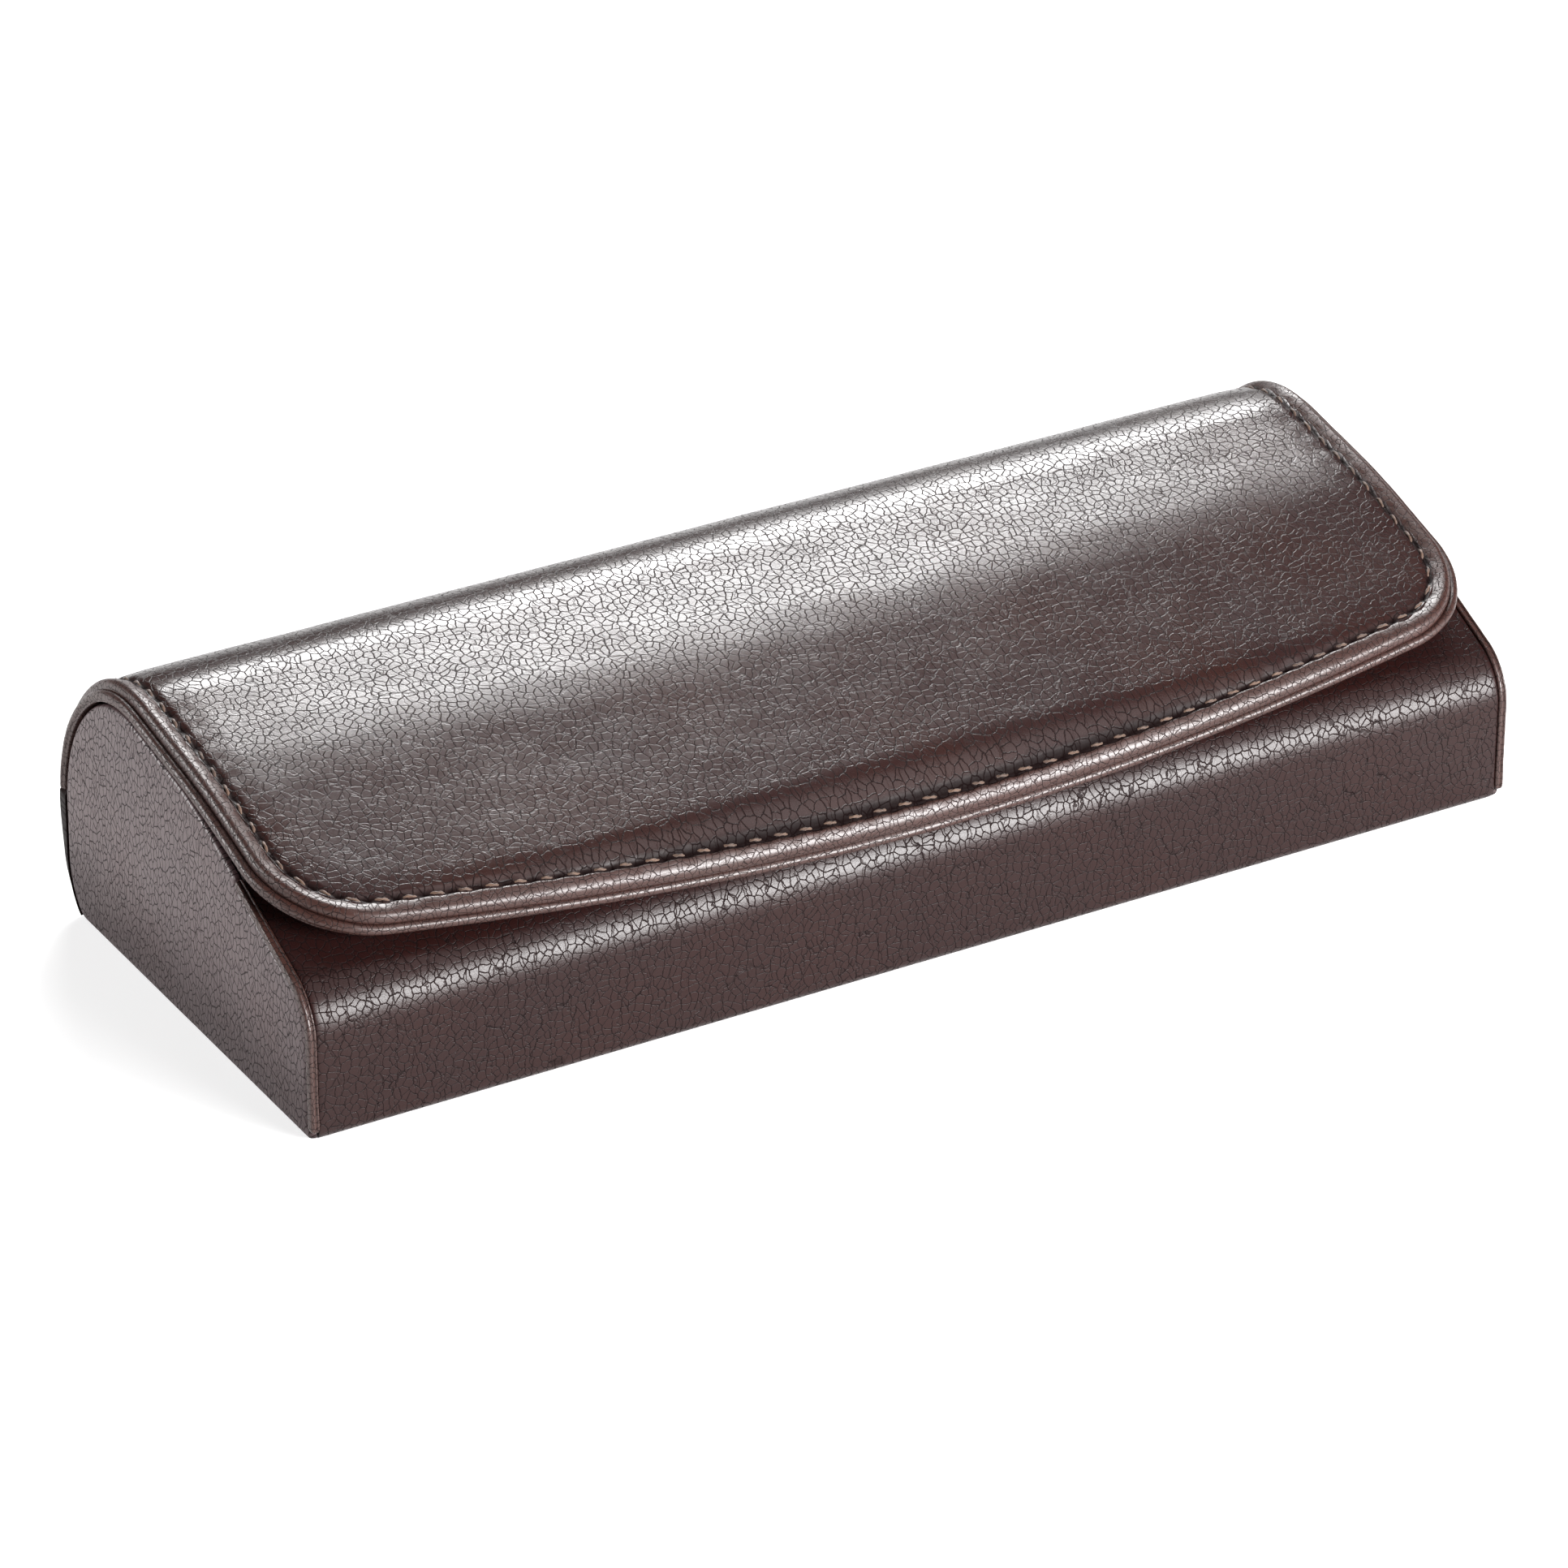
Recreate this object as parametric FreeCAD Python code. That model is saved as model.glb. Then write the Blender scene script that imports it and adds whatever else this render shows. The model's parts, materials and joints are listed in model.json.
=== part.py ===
"""Hard eyeglasses case with a flap lid.

A rigid base with a sloping front lip and solid ends, and an open-ended lid that wraps over
the top and is held shut by magnets in its front edge. Millimetres. +X runs along the case,
the lid's free edge faces -Y, +Z is up, and the origin is under the middle of the case, on
the surface it rests on.
"""

import FreeCAD
import Part
import math
import os

from FreeCAD import Vector

# Overall size
HALF_LENGTH = 80.0  # from the middle to the outer face of an end panel
FRONT_TO_ORIGIN = 31.92  # from the section's zero, at the front wall, back to the origin

# The case's section, clockwise from the front bottom edge: (distance from the front,
# height, corner radius). It is the outline of an end panel and the outside of the base.
SECTION = [
    (0.25, 0.0, 1.5),
    (0.25, 17.3, 7.0),
    (27.9, 30.0, 46.0),
    (49.3, 34.0, 13.9),
    (62.1, 23.8, 20.8),
    (62.5, 3.9, 9.0),
    (59.5, 0.0, 3.0),
]
# The lid's section is less steep at the front, so its flap stands clear of the base's lip.
LID_SECTION = SECTION[:1] + [(1.6, 22.1, 7.0), (27.9, 30.0, 80.0)] + SECTION[3:]
SMALLEST_RADIUS = 0.3

# The flap's outline, seen square on to its front edge: (along X, down the slope, radius)
FLAP_VIEW_ANGLE = math.radians(50)  # the view's tilt above the horizontal
FLAP_TOP = -120.0  # well past the crown, so that the sides run over it
FLAP_FRONT = [
    (-HALF_LENGTH, FLAP_TOP, 0.0),
    (-HALF_LENGTH, -18.3, 13.8),
    (0.0, -5.8, 440.0),
    (HALF_LENGTH, -18.3, 13.8),
    (HALF_LENGTH, FLAP_TOP, 0.0),
]

# Base layers, as offsets from the section
BASE_LEATHER = 0.9
BASE_SHELL = 0.8
BASE_LINING = 0.6
SHELL_OUT = -BASE_LEATHER
LINING_OUT = SHELL_OUT - BASE_SHELL
CAVITY = LINING_OUT - BASE_LINING

# End layers, from the outer face inwards along X
END_LEATHER = 0.9
END_PLATE = 1.5
END_LINING = 0.6
PLATE_X = HALF_LENGTH - END_LEATHER
SHELL_X = PLATE_X - END_PLATE
CAVITY_X = SHELL_X - END_LINING
WRAP_X = PLATE_X - 0.2  # the base leather stops short of the welt

# Lid layers, as offsets from the lid's section
LID_GAP = 0.25
LID_LINING_OUT = LID_GAP + 0.5
LID_SHELL_OUT = LID_LINING_OUT + 0.6
LID_FOAM_OUT = LID_SHELL_OUT + 0.3
LID_COVER_OUT = LID_FOAM_OUT + 0.7
PIPING_OUT = LID_COVER_OUT + 0.4

# How far the lid's pieces stop inside the flap's outline
BINDING_INSET = 1.5
PIPING_INSET = 0.5
COVER_INSET = 3.1
CORD_INSETS = (1.3, 2.4)
CORD_OUTS = (LID_FOAM_OUT + 0.1, PIPING_OUT - 0.4)
STITCH_INSET = 3.55

# The mouth and the hinge
LIP_END = 19.5  # the lip's edge under the flap, from the front
HINGE_HEIGHT = 15.0
WALL_TOP = HINGE_HEIGHT - 1.5  # the back wall's upper edge
LID_BACK_EDGE = HINGE_HEIGHT + 0.2  # the lid's stiff layers start this high at the back
HINGE_STRIP = (HINGE_HEIGHT - 1.4, HINGE_HEIGHT + 2.5)  # the strip of leather that bends
BEHIND_FRONT = 8.0  # everything behind this is clear of the front wall
BACK_HALF = 40.0  # everything behind this is in the back half
BACK_PANEL = [  # the leather over the lower back wall: (from the front, height, radius)
    (50.0, 0.0, 0.0),
    (50.0, HINGE_STRIP[0], 0.0),
    (64.65, HINGE_STRIP[0], 0.4),
    (64.65, 6.6, 14.0),
    (60.6, 0.0, 2.5),
]
BACK_PANEL_X = HALF_LENGTH - 0.1  # it covers the back edges of the end panels too
HINGE_LINING = [  # the cloth gusset across the hinge, slack between its two edges
    (59.5, 10.0, 0.0),
    (59.5, 14.1, 2.0),
    (61.5, 16.6, 2.0),
    (60.9, 19.5, 0.0),
    (61.35, 19.5, 0.0),
    (62.0, 16.5, 1.5),
    (60.0, 13.9, 1.5),
    (60.0, 10.0, 0.0),
]
HINGE_LINING_X = CAVITY_X - 0.1

# The welts, and the end leather that is turned over an end plate where the mouth is open
WELT_FROM = 1.5  # height of a welt's lower end
WELT_TO = 18.0  # distance of its upper end from the front
WELT_OUT = 0.1
TURNED_GAP = 0.3  # the turned leather stays this far from the base's own leather

# Closure magnets, and the steel plates in the lip that they hold to
MAGNET_X = 46.0
MAGNET_FROM_FRONT = 10.0
MAGNET_SIZE = (12.0, 7.0)
PLATE_SIZE = (15.0, 9.0)

# Stitches of the seam beside the piping
STITCH_PITCH = 3.25
STITCH = (2.0, 0.55, 0.3)  # length, width, height
STITCH_LIFT = 0.02  # the threads lie this far above the leather
SEAM_START = HINGE_STRIP[1] + 1.0  # height at the back

FAR = 200.0  # longer than anything here
OUT = "parts"


def from_front(u, z, x=0.0):
    """The point at distance u behind the section's zero and height z."""
    return Vector(x, u - FRONT_TO_ORIGIN, z)


def filleted(corners, offset, place):
    """Closed wire round a clockwise polygon (a, b, radius), moved outwards by offset.

    place turns the polygon's (a, b) into a point in space.
    """
    n = len(corners)
    lines = []
    for i in range(n):
        (a0, b0, _), (a1, b1, _) = corners[i], corners[(i + 1) % n]
        length = math.hypot(a1 - a0, b1 - b0)
        da, db = (a1 - a0) / length, (b1 - b0) / length
        lines.append((a0 - db * offset, b0 + da * offset, da, db))
    moved = []
    for i in range(n):
        (a0, b0, da0, db0), (a1, b1, da1, db1) = lines[i - 1], lines[i]
        cross = da0 * db1 - db0 * da1
        t = ((a1 - a0) * db1 - (b1 - b0) * da1) / cross
        radius = corners[i][2]
        if radius:
            radius = max(radius + offset, SMALLEST_RADIUS)
        moved.append((a0 + t * da0, b0 + t * db0, radius))
    edges = []
    tangents = []
    for i in range(n):
        a, b, radius = moved[i]
        _, _, da0, db0 = lines[i - 1]
        _, _, da1, db1 = lines[i]
        turn = math.acos(max(-1.0, min(1.0, da0 * da1 + db0 * db1)))
        reach = radius * math.tan(turn / 2)
        start = (a - da0 * reach, b - db0 * reach)
        end = (a + da1 * reach, b + db1 * reach)
        bow = math.hypot(da1 - da0, db1 - db0)
        rise = radius * (1 / math.cos(turn / 2) - 1)
        middle = (a + (da1 - da0) / bow * rise, b + (db1 - db0) / bow * rise)
        tangents.append((start, middle, end, radius))
    for i in range(n):
        start, middle, end, radius = tangents[i]
        following = tangents[(i + 1) % n][0]
        if radius:
            edges.append(Part.Arc(place(*start), place(*middle), place(*end)).toShape())
        edges.append(Part.LineSegment(place(*end), place(*following)).toShape())
    return Part.Wire(edges)


def section_prism(offset, x0, x1, section=SECTION):
    """Solid of a section's outline, moved outwards by offset, from x0 to x1."""
    face = Part.Face(filleted(section, offset, from_front))
    face.translate(Vector(x0, 0, 0))
    return face.extrude(Vector(x1 - x0, 0, 0))


def layer(inner, outer, x0, x1, section=SECTION):
    """Closed tube between two offsets of a section."""
    hole = section_prism(inner, x0, x1, section)
    return section_prism(outer, x0, x1, section).cut(hole)


def lid_layer(inner, outer):
    """Closed tube between two offsets of the lid's section, as long as the case."""
    return layer(inner, outer, -HALF_LENGTH, HALF_LENGTH, LID_SECTION)


def block(x0, x1, u0, u1, z0, z1):
    """Box between two x, two distances from the front and two heights."""
    return Part.makeBox(x1 - x0, u1 - u0, z1 - z0, from_front(u0, z0, x0))


def polygon_prism(corners, x0, x1):
    """Solid of a filleted polygon of the section plane, from x0 to x1."""
    face = Part.Face(filleted(corners, 0.0, from_front))
    face.translate(Vector(x0, 0, 0))
    return face.extrude(Vector(x1 - x0, 0, 0))


# The flap is cut square to the surface near its front edge: ACROSS is the cut's direction
# and DOWN runs down the slope, both in the section plane.
ACROSS = Vector(0, -math.cos(FLAP_VIEW_ANGLE), math.sin(FLAP_VIEW_ANGLE))
DOWN = Vector(0, -math.sin(FLAP_VIEW_ANGLE), -math.cos(FLAP_VIEW_ANGLE))


def flap_point(x, down):
    return from_front(0, 0) + Vector(x, 0, 0) + DOWN * down


def flap_prism(inset):
    """The space above the flap's outline, drawn in by inset on its three free sides."""
    wire = filleted(FLAP_FRONT, -inset, flap_point)
    face = Part.Face(wire)
    face.translate(ACROSS * -FAR)
    return face.extrude(ACROSS * 2 * FAR)


def below(height):
    """Everything behind the front wall that is lower than height."""
    return block(-FAR, FAR, BEHIND_FRONT, FAR, -FAR, height)


def flap_layer(inner, outer, inset, back_edge=LID_BACK_EDGE):
    """The part of a layer that belongs to the lid."""
    shell = lid_layer(inner, outer)
    return shell.common(flap_prism(inset)).cut(below(back_edge))


def base_layer(inner, outer, half_length):
    """A layer of the base: lip, front wall, floor and back wall."""
    mouth = block(-FAR, FAR, LIP_END, FAR, WALL_TOP, FAR)
    return layer(inner, outer, -half_length, half_length).cut(mouth)


def both_ends(shape):
    """The shape at the right-hand end and its mirror image at the left-hand end."""
    return {"left": shape.mirror(Vector(0, 0, 0), Vector(1, 0, 0)), "right": shape}


def front_tablet(x, size, inner, outer, section):
    """A flat tablet between two offsets of a section's straight slope at the front."""
    (u0, z0, _), (u1, z1, _) = section[1], section[2]
    slope = math.atan2(z1 - z0, u1 - u0)
    corner = Vector(-size[0] / 2, -size[1] / 2, inner)
    tablet = Part.makeBox(size[0], size[1], outer - inner, corner)
    tablet.rotate(Vector(0, 0, 0), Vector(1, 0, 0), math.degrees(slope))
    height = z0 + (MAGNET_FROM_FRONT - u0) * math.tan(slope)
    tablet.translate(from_front(MAGNET_FROM_FRONT, height, x))
    return tablet


def tablet_pair(size, inner, outer, section):
    """The left and right tablets of the closure, as two solids."""
    pair = [front_tablet(side * MAGNET_X, size, inner, outer, section) for side in (-1, 1)]
    return Part.makeCompound(pair)


def stitches():
    """The seam's threads: a row of small bars along the flap's free sides."""
    surface = section_prism(LID_COVER_OUT, -HALF_LENGTH, HALF_LENGTH, LID_SECTION)
    skin = Part.Shell([f for f in surface.Faces if abs(f.normalAt(0, 0).x) < 0.5])
    wall = filleted(FLAP_FRONT, -STITCH_INSET, flap_point)
    wall.translate(ACROSS * -FAR)
    curtain = wall.extrude(ACROSS * 2 * FAR)
    above = block(-FAR, FAR, -FAR, FAR, SEAM_START, FAR)
    seam = skin.section(curtain).common(above)
    path = Part.Wire(Part.sortEdges(seam.Edges)[0])
    # a layer below, which the threads stand square to
    outline = filleted(LID_SECTION, LID_SHELL_OUT, from_front)
    count = int(path.Length / STITCH_PITCH)
    points = path.discretize(Number=2 * count + 1)
    bars = []
    for i in range(1, len(points) - 1, 2):
        at = points[i]
        along = (points[i + 1] - points[i - 1]).normalize()
        foot = Part.Vertex(Vector(0, at.y, at.z)).distToShape(outline)[1][0][1]
        up = (Vector(0, at.y, at.z) - foot).normalize()
        side = up.cross(along).normalize()
        up = along.cross(side)
        bar = Part.makeBox(*STITCH, Vector(-STITCH[0] / 2, -STITCH[1] / 2, STITCH_LIFT))
        turn = FreeCAD.Rotation(along, side, up, "XYZ")
        bar.Placement = FreeCAD.Placement(at, turn)
        bars.append(bar)
    return Part.makeCompound(bars)


def make_parts():
    parts = {}
    parts["lip_strike_plates"] = tablet_pair(PLATE_SIZE, LINING_OUT, SHELL_OUT, SECTION)
    base_shell = base_layer(LINING_OUT, SHELL_OUT, SHELL_X)
    parts["base_shell"] = base_shell.cut(parts["lip_strike_plates"])
    parts["base_cover"] = base_layer(SHELL_OUT, 0.0, WRAP_X)
    parts["base_lining"] = base_layer(CAVITY, LINING_OUT, CAVITY_X)

    plate = section_prism(SHELL_OUT, SHELL_X, PLATE_X)
    lining = section_prism(LINING_OUT, CAVITY_X, SHELL_X)
    welt_zone = block(0, FAR, -FAR, WELT_TO, WELT_FROM, FAR)
    welt = layer(SHELL_OUT, WELT_OUT, PLATE_X, HALF_LENGTH).common(welt_zone)
    panel = section_prism(0.0, PLATE_X, HALF_LENGTH).cut(welt)
    turned = layer(SHELL_OUT, 0.0, SHELL_X, PLATE_X)
    mouth = block(0, FAR, LIP_END + TURNED_GAP, FAR, WALL_TOP + TURNED_GAP, FAR)
    turned = turned.common(mouth)
    ends = {
        "end_plate": plate,
        "end_lining": lining,
        "end_welt": welt,
        "end_cover": panel.fuse(turned).removeSplitter(),
    }
    for name, shape in ends.items():
        for side, piece in both_ends(shape).items():
            parts[f"{name}_{side}"] = piece

    panel_space = polygon_prism(BACK_PANEL, -BACK_PANEL_X, BACK_PANEL_X)
    parts["back_panel"] = panel_space.cut(section_prism(0.0, -FAR, FAR))
    strip_x = HALF_LENGTH - COVER_INSET
    strip = layer(LID_FOAM_OUT, LID_COVER_OUT, -strip_x, strip_x, LID_SECTION)
    parts["hinge_strip"] = strip.common(block(-FAR, FAR, BACK_HALF, FAR, *HINGE_STRIP))
    parts["hinge_lining"] = polygon_prism(HINGE_LINING, -HINGE_LINING_X, HINGE_LINING_X)

    parts["lid_magnets"] = tablet_pair(MAGNET_SIZE, LID_LINING_OUT, LID_FOAM_OUT, LID_SECTION)
    lid_shell = flap_layer(LID_LINING_OUT, LID_SHELL_OUT, BINDING_INSET)
    lid_foam = flap_layer(LID_SHELL_OUT, LID_FOAM_OUT, COVER_INSET, HINGE_STRIP[1])
    parts["lid_shell"] = lid_shell.cut(parts["lid_magnets"])
    parts["lid_foam"] = lid_foam.cut(parts["lid_magnets"])
    parts["lid_lining"] = flap_layer(LID_GAP, LID_LINING_OUT, BINDING_INSET)
    parts["lid_cover"] = flap_layer(LID_FOAM_OUT, LID_COVER_OUT, COVER_INSET, HINGE_STRIP[1])

    binding = lid_layer(LID_GAP, LID_SHELL_OUT)
    binding = binding.common(flap_prism(0.0)).cut(flap_prism(BINDING_INSET))
    parts["lid_binding"] = binding.cut(below(LID_BACK_EDGE))
    bead = lid_layer(LID_SHELL_OUT, PIPING_OUT)
    bead = bead.common(flap_prism(PIPING_INSET)).cut(flap_prism(COVER_INSET))
    cord = lid_layer(*CORD_OUTS)
    cord = cord.common(flap_prism(CORD_INSETS[0])).cut(flap_prism(CORD_INSETS[1]))
    parts["piping_cord"] = cord.cut(below(LID_BACK_EDGE))
    parts["lid_piping"] = bead.cut(below(LID_BACK_EDGE)).cut(parts["piping_cord"])
    parts["lid_stitches"] = stitches()
    return parts


def main():
    os.makedirs(OUT, exist_ok=True)
    whole = FreeCAD.BoundBox()
    for name, shape in make_parts().items():
        shape.exportStep(f"{OUT}/{name}.step")
        whole.add(shape.BoundBox)
        print(f"{name:20s} {len(shape.Solids):3d} solids {shape.Volume:9.1f} mm3 {shape.isValid()}")
    print("whole case", whole)


main()
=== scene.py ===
import json
import math

import bmesh
import bpy
import numpy as np
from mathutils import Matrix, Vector


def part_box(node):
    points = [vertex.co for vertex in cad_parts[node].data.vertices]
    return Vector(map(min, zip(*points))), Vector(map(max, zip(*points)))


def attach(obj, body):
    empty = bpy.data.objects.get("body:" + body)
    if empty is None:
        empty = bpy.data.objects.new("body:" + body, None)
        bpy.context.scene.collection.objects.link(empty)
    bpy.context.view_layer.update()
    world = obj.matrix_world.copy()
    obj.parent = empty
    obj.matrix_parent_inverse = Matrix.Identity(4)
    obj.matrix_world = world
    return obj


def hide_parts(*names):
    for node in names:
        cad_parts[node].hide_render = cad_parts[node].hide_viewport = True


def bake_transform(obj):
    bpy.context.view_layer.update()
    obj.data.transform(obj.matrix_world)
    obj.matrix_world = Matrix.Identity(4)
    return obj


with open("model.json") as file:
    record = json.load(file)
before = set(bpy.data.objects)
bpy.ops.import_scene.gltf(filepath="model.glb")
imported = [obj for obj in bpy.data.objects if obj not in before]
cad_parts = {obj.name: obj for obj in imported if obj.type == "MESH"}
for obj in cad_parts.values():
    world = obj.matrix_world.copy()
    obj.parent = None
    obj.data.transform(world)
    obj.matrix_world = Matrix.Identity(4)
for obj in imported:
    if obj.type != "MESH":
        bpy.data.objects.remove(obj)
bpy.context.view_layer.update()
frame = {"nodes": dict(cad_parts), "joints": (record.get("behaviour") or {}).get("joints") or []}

# A hard eyeglasses case with a flap lid. The scene is in metres, and the sizes below are in
# millimetres, which place() and MM turn into metres. u is the distance behind the front wall,
# s runs along the section's outline, clockwise from the front bottom edge, and t is a height
# above it.
MM = 0.001

# The sections' corners: (u, z, corner radius). The lid's slopes less at the front.
SECTION = [(0.25, 0.0, 1.5), (0.25, 17.3, 7.0), (27.9, 30.0, 46.0), (49.3, 34.0, 13.9),
           (62.1, 23.8, 20.8), (62.5, 3.9, 9.0), (59.5, 0.0, 3.0)]
LID_SECTION = SECTION[:1] + [(1.6, 22.1, 7.0), (27.9, 30.0, 80.0)] + SECTION[3:]
# The flap's corners, seen square on to its front edge: (x, down the slope, corner radius)
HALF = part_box("end_cover_right")[1].x / MM
FLAP_VIEW_ANGLE = math.radians(50)
FLAP = [(-HALF, -120.0, 0.0), (-HALF, -18.3, 13.8), (0.0, -5.8, 440.0),
        (HALF, -18.3, 13.8), (HALF, -120.0, 0.0)]
FRONT_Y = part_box("base_cover")[0].y / MM - SECTION[0][0]  # where u is 0

# Layers and widths
COVER_T = 2.35  # the lid's outer leather, over the section
PADDING = 0.16  # how much the lid's middle swells above its seam
PIPING_EDGE = 3.1  # where the main leather goes under the bead, in from the flap's edge
SEAM_INSET = 3.6
PITCH = 3.25  # from one needle hole to the next
LEATHER = 0.88  # the base's leather
LINING_EDGE = 3.4  # the lid's lining, in from the flap's edge
# how far the base's leather, the linings and the back panel reach along X
WRAP_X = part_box("base_cover")[1].x / MM
LINING_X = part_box("base_lining")[1].x / MM
BACK_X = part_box("back_panel")[1].x / MM
BACK_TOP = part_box("back_panel")[1].z / MM
LIP_U = 19.5  # the lip's free edge
WALL_TOP = 13.5  # the back wall's height
LID_EDGE_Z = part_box("lid_shell")[0].z / MM
HINGE = frame["joints"][0]["pos_m"]
# (u, z) of the middle of an end panel, and of its lining
END_CENTRE = np.array([36.0, 14.0])
LINING_CENTRE = np.array([36.0, 13.5])

rng = np.random.default_rng(11)


# ---------------------------------------------------------------- outlines

class Outline:
    """A filleted clockwise polygon, moved outwards by offset, walked by length."""

    def __init__(self, corners, offset=0.0, smallest=0.3):
        a = np.array(corners, float)
        n = len(a)
        d = np.roll(a[:, :2], -1, 0) - a[:, :2]
        d /= np.linalg.norm(d, axis=1)[:, None]
        left = np.stack([-d[:, 1], d[:, 0]], 1)
        base = a[:, :2] + left * offset
        points, normals = [], []
        for i in range(n):
            d0, d1, p0, p1 = d[i - 1], d[i], base[i - 1], base[i]
            cross = d0[0] * d1[1] - d0[1] * d1[0]
            k = ((p1 - p0)[0] * d1[1] - (p1 - p0)[1] * d1[0]) / cross
            corner = p0 + k * d0
            radius = max(a[i, 2] + offset, smallest) if a[i, 2] else 0.0
            turn = math.acos(np.clip(d0 @ d1, -1, 1))
            centre = corner - (left[i - 1] + left[i]) * radius / (1 + math.cos(turn))
            steps = 2 + int(math.degrees(turn) * 2)
            for f in np.linspace(0, 1, steps):
                w0, w1 = math.sin((1 - f) * turn), math.sin(f * turn)
                normal = (left[i - 1] * w0 + left[i] * w1) / math.sin(turn)
                points.append(centre + normal * radius)
                normals.append(normal)
        points.append(points[0])
        normals.append(normals[0])
        self.p, self.n = np.array(points), np.array(normals)
        lengths = np.linalg.norm(np.diff(self.p, axis=0), axis=1)
        self.s = np.concatenate([[0], np.cumsum(lengths)])
        self.length = self.s[-1]

    def at(self, s, t=0.0):
        """Points at lengths s, lifted by t off the outline."""
        s = np.mod(s, self.length)
        p = np.stack([np.interp(s, self.s, self.p[:, k]) for k in (0, 1)], -1)
        return p + self.normal(s) * np.asarray(t, float)[..., None]

    def normal(self, s):
        """Unit directions off the outline at lengths s."""
        s = np.mod(s, self.length)
        v = np.stack([np.interp(s, self.s, self.n[:, k]) for k in (0, 1)], -1)
        return v / np.linalg.norm(v, axis=-1)[..., None]

    def find(self, axis, value, low, high):
        """The length at which coordinate axis passes value, between two shares of the outline."""
        s = np.linspace(low, high, 4000) * self.length
        c = self.at(s)[:, axis]
        return s[np.abs(c - value).argmin()]


def place(x, uz):
    """Points of the row frame, in metres, from x and (u, z) in millimetres."""
    x, u, z = np.broadcast_arrays(x, uz[..., 0], uz[..., 1])
    return np.stack([x, u + FRONT_Y, z], -1) * MM


# the two outlines, and the s of places on them
section = Outline(SECTION)
S_LIP = section.find(0, LIP_U, 0.1, 0.3)
S_WALL = section.find(1, WALL_TOP, 0.45, 0.66)
lid = Outline(LID_SECTION)
S_CROWN = lid.find(0, 47.0, 0.3, 0.5)
S_TURN = lid.find(1, 24.0, 0.4, 0.62)
S_EDGE = lid.find(1, LID_EDGE_Z, 0.45, 0.66)
S_HINGE = lid.find(1, HINGE[2] / MM, 0.45, 0.66)
S_BACK = lid.find(1, BACK_TOP, 0.45, 0.66)
S_FOOT = lid.find(1, 0.35, 0.5, 0.75)

# how far down the slope each s lies, in the middle of the lid's thickness
slope_s = np.linspace(0.0, S_TURN, 3000)
slope_uz = lid.at(slope_s, 1.5)
slope_down = -slope_uz @ np.array([math.sin(FLAP_VIEW_ANGLE), math.cos(FLAP_VIEW_ANGLE)])


def flap_path(inset, end_s, step=0.3, t=COVER_T):
    """The flap's free sides drawn in by inset, left, front, right: x and s, evenly spaced."""
    line = Outline(FLAP, -inset)
    x, down = line.p[:, 0], line.p[:, 1]
    keep = down > slope_down[np.searchsorted(slope_s, S_LIP + 9.0)]
    x, down = x[keep], down[keep]
    s = np.interp(-down, -slope_down, slope_s)
    run = np.linspace(end_s, s[0], 400)[:-1]
    x = np.concatenate([np.full(len(run), x[0]), x, np.full(len(run), x[-1])])
    s = np.concatenate([run, s, run[::-1]])
    p = place(x, lid.at(s, np.full(len(s), t))) / MM
    length = np.concatenate([[0], np.cumsum(np.linalg.norm(np.diff(p, axis=0), axis=1))])
    q = np.linspace(0, length[-1], int(length[-1] / step) + 1)
    return np.interp(q, length, x), np.interp(q, length, s), q


def path_frame(x, s, t, outline=lid):
    """Points along a path on an outline, with the directions off its side and off the surface."""
    p = place(x, outline.at(s, np.full(len(s), t)))
    along = np.gradient(p, axis=0)
    along /= np.linalg.norm(along, axis=1)[:, None]
    n = outline.normal(s)
    up = np.stack([np.zeros(len(s)), n[:, 0], n[:, 1]], 1)
    side = np.cross(along, up)
    side /= np.linalg.norm(side, axis=1)[:, None]
    return p, side, up


def front_s(x, inset):
    """The s at which the flap, drawn in by inset, begins at x."""
    px, ps, _ = flap_path(inset, S_CROWN, 0.1)
    grows = np.maximum.accumulate(px + np.arange(len(px)) * 1e-9)
    return np.interp(np.clip(x, grows[0] + 0.02, grows[-1] - 0.02), grows, ps)


def slope(s):
    """The lid's fall towards the front at s, in degrees."""
    n = lid.normal(s)
    return np.degrees(np.arctan2(-n[..., 0], n[..., 1]))


# ---------------------------------------------------------------- small helpers

def smooth(v, low, high):
    """0 below low, 1 above high, and a soft step between them."""
    v = np.clip((v - low) / (high - low), 0, 1)
    return v * v * (3 - 2 * v)


def waves(a, b, scale, seed):
    """Smooth irregular swells of about unit height and the given wavelength."""
    r = np.random.default_rng(seed)
    out = np.zeros(np.broadcast(a, b).shape)
    count = 7
    for _ in range(count):
        angle, phase, k = r.uniform(0, math.pi), r.uniform(0, 6.3), r.uniform(0.6, 1.5)
        out = out + np.sin((a * math.cos(angle) + b * math.sin(angle)) * k * 6.283 / scale + phase)
    return out / math.sqrt(count)


def line_noise(q, scale, seed):
    """Smooth irregular values along a line, from -1 to 1."""
    r = np.random.default_rng(seed)
    q = np.asarray(q, float) / scale
    table = r.uniform(-1, 1, int(q.max()) + 3)
    i = q.astype(int)
    f = q - i
    f = f * f * (3 - 2 * f)
    return table[i] * (1 - f) + table[i + 1] * f


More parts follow.
